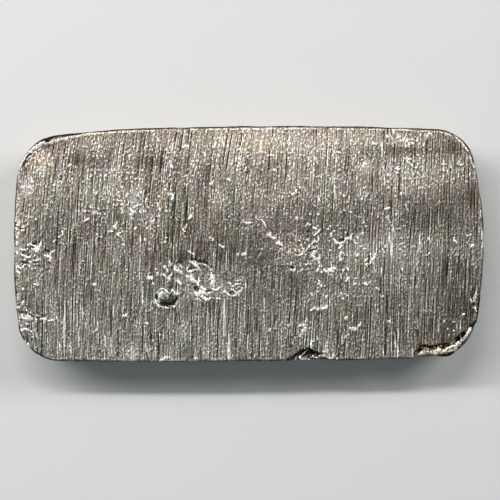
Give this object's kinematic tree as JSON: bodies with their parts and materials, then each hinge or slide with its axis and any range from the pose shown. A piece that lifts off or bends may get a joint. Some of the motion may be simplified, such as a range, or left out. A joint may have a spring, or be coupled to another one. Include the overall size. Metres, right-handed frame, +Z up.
{
  "type": "poured silver ingot",
  "caption": "Hand-poured metal ingot with rounded corners and drafted walls, filed flat on its poured face, lying on its smaller mould face.",
  "frame": {"origin": "middle of the footprint, on the flat underside that the ingot lies on", "axes": "+X along the ingot's length, +Y across its width, +Z up through the filed poured face"},
  "size_m": [0.08, 0.04, 0.0102],
  "materials": {
    "tarnished_silver": "satin"
  },
  "bodies": {
    "root": {"ingot": "tarnished_silver"}
  },
  "joints": []
}
